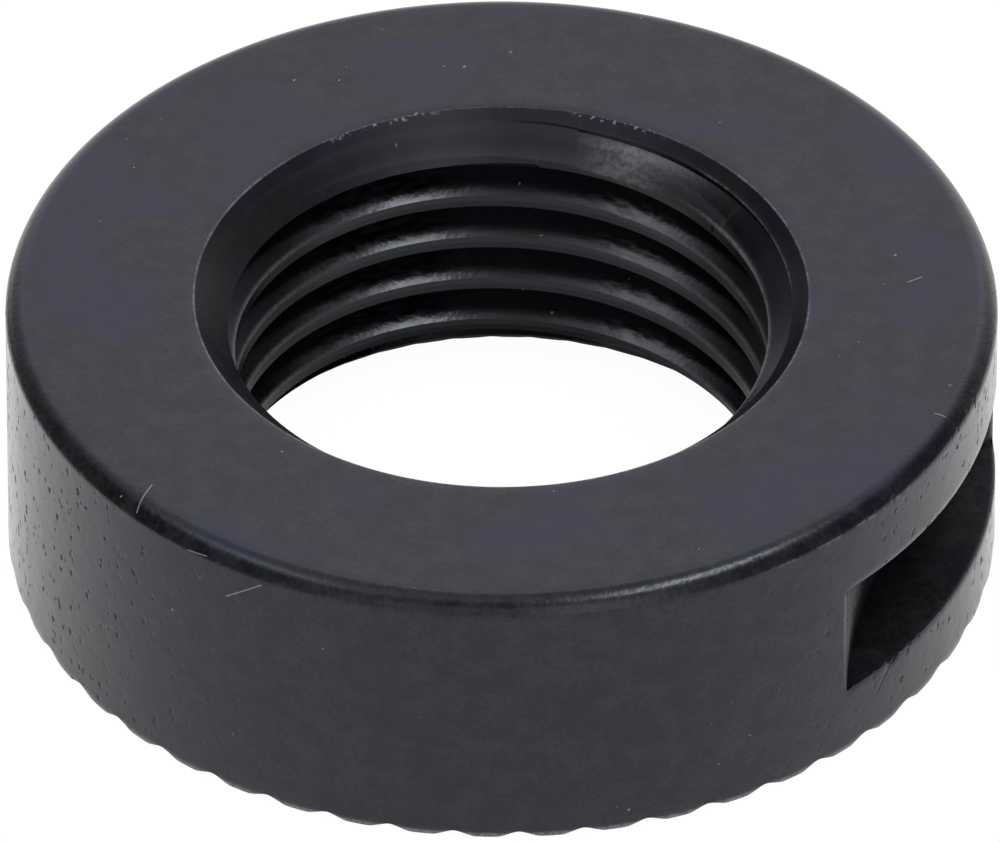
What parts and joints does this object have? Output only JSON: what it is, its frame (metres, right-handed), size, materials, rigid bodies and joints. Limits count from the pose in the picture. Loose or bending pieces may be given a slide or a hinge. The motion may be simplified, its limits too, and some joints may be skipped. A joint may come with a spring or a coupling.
{
  "type": "lock nut",
  "caption": "Round threaded lock nut with a milled side slot for a hook wrench, a rounded upper rim and a radially serrated underside",
  "frame": {"origin": "middle of the underside, on the thread's axis", "axes": "+Z along the thread's axis from the serrated underside to the plain upper face, +X to the right and +Y away from a viewer who sees the wrench slot at the right"},
  "size_m": [0.0234, 0.0234, 0.007],
  "materials": {
    "black_steel": "satin black oxide on turned steel"
  },
  "bodies": {
    "root": {"lock_nut": "black_steel"}
  },
  "joints": []
}
